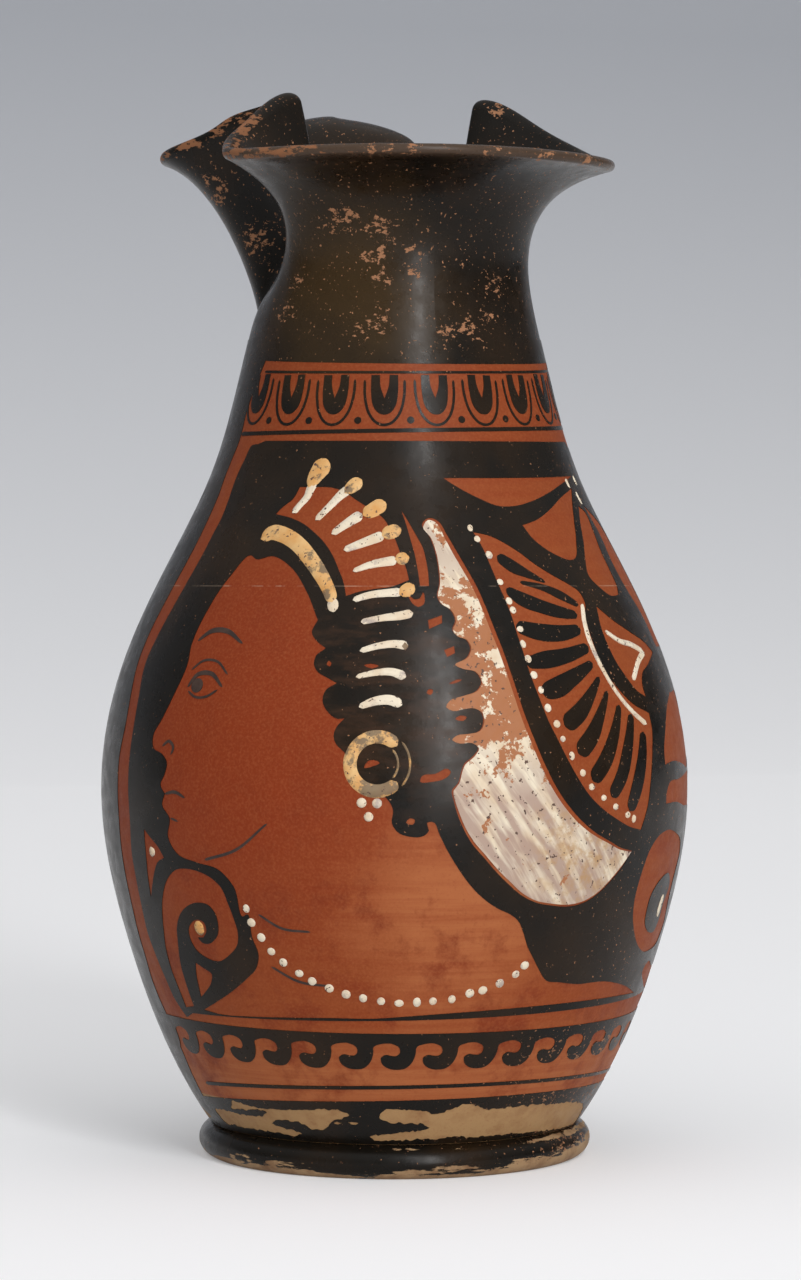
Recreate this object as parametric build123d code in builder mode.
# Oinochoe: a one-handled wine jug with a trefoil mouth, thrown in sections and luted together.
# Millimetres. +Z is up along the wheel axis, the spout points along -Y and the handle stands at +Y.
import os
from math import cos, exp, radians, sin, tan

from build123d import *

# Ring foot
FOOT_HEIGHT = 7.2
FOOT_RADIUS = 43.0  # widest, on the rounded outer face
FOOT_BULGE_HEIGHT = 3.3  # height of that widest point
FOOT_REST_RADIUS = 40.6  # outer edge of the flat that stands on the table
FOOT_REST_WIDTH = 6.2
FOOT_LEDGE = 0.9  # rise of the sloping ledge above the rounded face
FOOT_GROOVE = 0.7  # depth of the groove between foot and wall
FOOT_RECESS_RADIUS = 31.5  # inside of the ring where it meets the floor

# Outside of the thrown wall: stations from the foot to the root of the neck
BASE_RADIUS = 40.5
BASE_FLARE = 35.0  # degrees out from upright
LOWER_RADIUS = 57.8
LOWER_HEIGHT = 45.0
BELLY_RADIUS = 64.3
BELLY_HEIGHT = 80.0
SHOULDER_RADIUS = 57.8
SHOULDER_HEIGHT = 112.0
COLLAR_RADIUS = 41.8
COLLAR_HEIGHT = 145.0
NECK_RADIUS = 32.1
NECK_HEIGHT = 178.0
NECK_TAPER = 13.3  # degrees in from upright

# Inside of the thrown wall
FLOOR_THICKNESS = 6.0
BELLY_WALL = 4.4
NECK_WALL = 3.6
FLOOR_CORNER_AT = 0.07  # share of the wall's length where the floor's round corner begins
INNER_STATIONS = 7

# Luted seams: shallow cones, so that the section above sits centred in the one below
SEAM_HEIGHT = 124.5
SEAT_SLOPE = 30.0  # degrees down towards the axis

# Trefoil mouth. Rises are measured from the root of the neck to the underside of the lip.
LIP_THICKNESS = 2.3
FOLD_THICKNESS = 5.2  # wall at the pinch, where the clay is gathered
PINCH_ANGLE = 106.5  # from the spout
PINCH_FRONT_SPREAD = 30.5  # degrees over which a pinch fades into the front lobe
PINCH_BACK_SPREAD = 13.5  # and into the side lobe
CREST_SPREAD = 0.81  # the rise of a pinch fades out over this share of its spread
CREST_ROUND = 0.12  # roundness of its top; a small value gives a sharp peak
LOBE_TURN_START = 85.0  # the front lobe changes into a side lobe between these angles
LOBE_TURN_END = 128.0
FRONT_LIP_RADIUS = 50.5
FRONT_LIP_RISE = 35.4
FRONT_LIP_SLOPE = 5.0  # degrees up from level
FRONT_UPRIGHT = 0.65  # share of the rise that the wall stays steep
SIDE_LIP_RADIUS = 59.0
SIDE_LIP_RISE = 41.0
SIDE_LIP_SLOPE = 16.0
SIDE_UPRIGHT = 0.05
PINCH_LIP_RADIUS = 25.4
PINCH_LIP_RISE = 51.2
PINCH_LIP_SLOPE = 78.0
PINCH_UPRIGHT = 0.45
BACK_LIP_RADIUS = 46.5  # at the dent under the handle, which parts the two side lobes
BACK_SPREAD = 26.0
LOBE_REACH = 0.41  # share of the rise over which the wall bends to the lip's slope
PINCH_REACH = 0.95
SECTION_STEP = 7.5
SECTION_OVERRUN = 30.0  # sections go on past the middle plane, so that the halves meet smoothly
SEAT_STRAIGHT = 1.0  # wall that goes straight on above the seat
SEAT_OVERRUN = 8.0  # wall that is modelled below the seat and cut off by it

# Strap handle: its middle line in the plane x = 0, as reach behind the axis and height
HANDLE_ROOT_REACH = 42.5
HANDLE_ROOT_DROP = 10.0  # start below the underside of the side lip
HANDLE_CROWN_REACH = 56.0
HANDLE_CROWN_HEIGHT = 228.0
HANDLE_BEND_REACH = 68.5
HANDLE_BEND_AT = 0.892  # heights on the back of the strap, as shares of the way from landing to crown
HANDLE_GRIP_REACH = 73.0
HANDLE_GRIP_AT = 0.604
HANDLE_LOW_REACH = 68.0
HANDLE_LOW_AT = 0.226
HANDLE_LANDING_REACH = 45.0
HANDLE_LANDING_HEIGHT = 122.0
ROOT_WIDTH = 38.0
CROWN_WIDTH = 37.0
BEND_WIDTH = 31.0
GRIP_WIDTH = 26.5
LOW_WIDTH = 25.5
LANDING_WIDTH = 32.0
HANDLE_THICKNESS = 9.0

TOP_ROOM = 200.0  # cutting shapes reach this far past the jug


def polar_plane(angle):
    """Upright plane through the axis; the angle runs from the spout towards +X."""
    turn = radians(angle)
    outward = (sin(turn), -cos(turn), 0)
    across = (-cos(turn), -sin(turn), 0)
    return Plane(origin=(0, 0, 0), x_dir=outward, z_dir=across)


def heading(angle):
    """Direction in a wall section, in degrees up from level and outwards."""
    return Vector(cos(radians(angle)), sin(radians(angle)))


def towards_axis(direction):
    return Vector(-direction.Y, direction.X)


# Outside and inside of the wall, drawn as radius and height
base_heading = heading(90 - BASE_FLARE)
neck_heading = heading(90 + NECK_TAPER)

with BuildLine() as outer_line:
    outer_wall = Spline(
        (BASE_RADIUS, FOOT_HEIGHT),
        (LOWER_RADIUS, LOWER_HEIGHT),
        (BELLY_RADIUS, BELLY_HEIGHT),
        (SHOULDER_RADIUS, SHOULDER_HEIGHT),
        (COLLAR_RADIUS, COLLAR_HEIGHT),
        (NECK_RADIUS, NECK_HEIGHT),
        tangents=(base_heading, neck_heading),
    )


def inside_point(share):
    thickness = BELLY_WALL + (NECK_WALL - BELLY_WALL) * share
    return outer_wall @ share + towards_axis(outer_wall % share) * thickness


stations = [FLOOR_CORNER_AT + (1 - FLOOR_CORNER_AT) * i / INNER_STATIONS for i in range(INNER_STATIONS + 1)]
floor_top = FOOT_HEIGHT + FLOOR_THICKNESS

with BuildLine() as cavity_line:
    inner_wall = Spline(
        *[inside_point(share) for share in stations],
        tangents=(outer_wall % stations[0], neck_heading),
    )
    corner_end = inner_wall @ 0
    corner_run = inner_wall % 0
    corner_length = (corner_end.Y - floor_top) / corner_run.Y
    corner = corner_end - corner_run * corner_length
    corner_start = corner - Vector(corner_length, 0)
    Bezier(corner_start, corner, corner_end)
    Polyline(corner_start, (0, floor_top), (0, (inner_wall @ 1).Y), inner_wall @ 1)

with BuildPart() as filled_wall:
    with BuildSketch(Plane.XZ):
        with BuildLine():
            add(outer_line.line)
            Polyline(outer_wall @ 1, (0, NECK_HEIGHT), (0, FOOT_HEIGHT), outer_wall @ 0)
        make_face()
    revolve(axis=Axis.Z)

with BuildPart() as thrown_wall:
    add(filled_wall.part)
    with BuildSketch(Plane.XZ):
        with BuildLine():
            add(cavity_line.line)
        make_face()
    revolve(axis=Axis.Z, mode=Mode.SUBTRACT)


def below_seat(radius, height):
    """Everything under the cone that meets the outer wall at this radius and height."""
    drop = tan(radians(SEAT_SLOPE))
    with BuildPart() as room:
        with BuildSketch(Plane.XZ):
            with BuildLine():
                Polyline(
                    (0, height - radius * drop),
                    (TOP_ROOM, height + (TOP_ROOM - radius) * drop),
                    (TOP_ROOM, -TOP_ROOM),
                    (0, -TOP_ROOM),
                    close=True,
                )
            make_face()
        revolve(axis=Axis.Z)
    return room.part


with BuildLine() as seam_level:
    Line((0, SEAM_HEIGHT), (TOP_ROOM, SEAM_HEIGHT))
seam_radius = outer_wall.intersect(seam_level.edges()[0]).vertices()[0].X
below_seam = below_seat(seam_radius, SEAM_HEIGHT)
below_neck = below_seat(NECK_RADIUS, NECK_HEIGHT)

# Foot
groove_radius = BASE_RADIUS - FOOT_GROOVE
ledge_radius = (FOOT_RADIUS + groove_radius) / 2

with BuildPart() as foot_ring:
    with BuildSketch(Plane.XZ):
        with BuildLine():
            rest_edge = (FOOT_REST_RADIUS, 0)
            ledge_edge = (ledge_radius, FOOT_HEIGHT - FOOT_LEDGE)
            ThreePointArc(rest_edge, (FOOT_RADIUS, FOOT_BULGE_HEIGHT), ledge_edge)
            Polyline(
                ledge_edge,
                (groove_radius, FOOT_HEIGHT),
                (FOOT_RECESS_RADIUS, FOOT_HEIGHT),
                (FOOT_REST_RADIUS - FOOT_REST_WIDTH, 0),
                rest_edge,
            )
        make_face()
    revolve(axis=Axis.Z)

# Body sections
with BuildPart() as lower_body:
    add(thrown_wall.part)
    add(below_seam, mode=Mode.INTERSECT)

with BuildPart() as upper_body:
    add(thrown_wall.part)
    add(below_seam, mode=Mode.SUBTRACT)
    add(below_neck, mode=Mode.INTERSECT)


# Mouth: one wall section every few degrees, blended from front lobe to pinch to side lobe
def mix(start, end, share):
    return start + (end - start) * share


def pinch_share(angle, width):
    """How far the lip is pinched at this angle; 1 at the bottom of the pinch, 0 on the lobes."""
    spread = PINCH_FRONT_SPREAD if angle < PINCH_ANGLE else PINCH_BACK_SPREAD
    return exp(-(((angle - PINCH_ANGLE) / (spread * width)) ** 2))


def rim_shape(angle):
    """Lip radius, rise, slope, upright share, reach and thickness at this angle from the spout."""
    along = min(max((angle - LOBE_TURN_START) / (LOBE_TURN_END - LOBE_TURN_START), 0), 1)
    sideways = along * along * (3 - 2 * along)
    front = (FRONT_LIP_RADIUS, FRONT_LIP_RISE, FRONT_LIP_SLOPE, FRONT_UPRIGHT)
    side = (SIDE_LIP_RADIUS, SIDE_LIP_RISE, SIDE_LIP_SLOPE, SIDE_UPRIGHT)
    radius, rise, slope, upright = [mix(a, b, sideways) for a, b in zip(front, side)]
    radius = mix(radius, BACK_LIP_RADIUS, exp(-(((180 - angle) / BACK_SPREAD) ** 2)))
    pinch = pinch_share(angle, 1)
    fall = 1 - pinch_share(angle, CREST_SPREAD)
    crest = 1 - (1 + CREST_ROUND) * fall * fall / (fall + CREST_ROUND)
    return (
        mix(radius, PINCH_LIP_RADIUS, pinch),
        mix(rise, PINCH_LIP_RISE, crest),
        mix(slope, PINCH_LIP_SLOPE, pinch),
        mix(upright, PINCH_UPRIGHT, pinch),
        mix(LOBE_REACH, PINCH_REACH, pinch),
        mix(LIP_THICKNESS, FOLD_THICKNESS, pinch),
    )


def mouth_section(angle):
    """Closed outline of the wall at this angle."""
    radius, rise, slope, upright, reach, thickness = rim_shape(min(abs(angle), 360 - abs(angle)))
    lip_heading = heading(slope)
    bend = 4 / 3 * tan(radians(90 + NECK_TAPER - slope) / 4)  # arms of a curve that turns this far
    start_out = Vector(NECK_RADIUS, NECK_HEIGHT) + neck_heading * SEAT_STRAIGHT
    start_in = start_out + towards_axis(neck_heading) * NECK_WALL
    lip_out = Vector(radius, NECK_HEIGHT + rise)
    lip_in = lip_out + towards_axis(lip_heading) * thickness
    lip_end = (lip_out + lip_in) / 2 + lip_heading * thickness / 2
    low_arm = upright * rise
    high_arm = reach * rise
    below = neck_heading * (SEAT_STRAIGHT + SEAT_OVERRUN)
    with BuildLine() as section:
        Line(start_out - below, start_out)
        Bezier(start_out, start_out + neck_heading * low_arm, lip_out - lip_heading * high_arm, lip_out)
        ThreePointArc(lip_out, lip_end, lip_in)
        Bezier(
            lip_in,
            lip_in - lip_heading * (high_arm + bend * thickness),
            start_in + neck_heading * (low_arm + bend * NECK_WALL),
            start_in,
        )
        Polyline(start_in, start_in - below, start_out - below)
    return section.edges()


section_count = round((180 + 2 * SECTION_OVERRUN) / SECTION_STEP)

with BuildPart() as trefoil_mouth:
    for i in range(section_count + 1):
        section_angle = i * SECTION_STEP - SECTION_OVERRUN
        with BuildSketch(polar_plane(section_angle)):
            make_face(mouth_section(section_angle))
    loft()
    split(bisect_by=Plane.YZ, keep=Keep.TOP)
    mirror(about=Plane.YZ)
    add(below_neck, mode=Mode.SUBTRACT)


# Handle: rounded strap sections along the middle line, trimmed where it meets rim and wall
def strap_section(width):
    half = HANDLE_THICKNESS / 2
    with BuildLine() as section:
        Spline(
            (0, half),
            (0.25 * width, 0.68 * half),
            (0.48 * width, -0.3 * half),
            (0.3 * width, -half),
            (0, -half),
            (-0.3 * width, -half),
            (-0.48 * width, -0.3 * half),
            (-0.25 * width, 0.68 * half),
            periodic=True,
        )
    return section.edges()


def strap_height(share):
    return mix(HANDLE_LANDING_HEIGHT, HANDLE_CROWN_HEIGHT, share)


handle_stations = [
    (HANDLE_ROOT_REACH, NECK_HEIGHT + SIDE_LIP_RISE - HANDLE_ROOT_DROP, ROOT_WIDTH),
    (HANDLE_CROWN_REACH, HANDLE_CROWN_HEIGHT, CROWN_WIDTH),
    (HANDLE_BEND_REACH, strap_height(HANDLE_BEND_AT), BEND_WIDTH),
    (HANDLE_GRIP_REACH, strap_height(HANDLE_GRIP_AT), GRIP_WIDTH),
    (HANDLE_LOW_REACH, strap_height(HANDLE_LOW_AT), LOW_WIDTH),
    (HANDLE_LANDING_REACH, HANDLE_LANDING_HEIGHT, LANDING_WIDTH),
]

with BuildLine() as handle_line:
    middle_line = Spline(*[(0, reach, height) for reach, height, _ in handle_stations])

with BuildPart() as whole_strap:
    for reach, height, width in handle_stations:
        place = middle_line.param_at_point((0, reach, height))
        with BuildSketch(Plane(origin=middle_line @ place, x_dir=(-1, 0, 0), z_dir=middle_line % place)):
            make_face(strap_section(width))
    loft()
    add(filled_wall.part, mode=Mode.SUBTRACT)
    add(trefoil_mouth.part, mode=Mode.SUBTRACT)

with BuildPart() as strap_handle:
    add(whole_strap.part.solids().sort_by(SortBy.VOLUME)[-1])

os.makedirs("parts", exist_ok=True)
foot_ring.part.label = "foot_ring"
lower_body.part.label = "lower_body"
upper_body.part.label = "upper_body"
trefoil_mouth.part.label = "trefoil_mouth"
strap_handle.part.label = "strap_handle"
export_step(foot_ring.part, "parts/foot_ring.step")
export_step(lower_body.part, "parts/lower_body.step")
export_step(upper_body.part, "parts/upper_body.step")
export_step(trefoil_mouth.part, "parts/trefoil_mouth.step")
export_step(strap_handle.part, "parts/strap_handle.step")
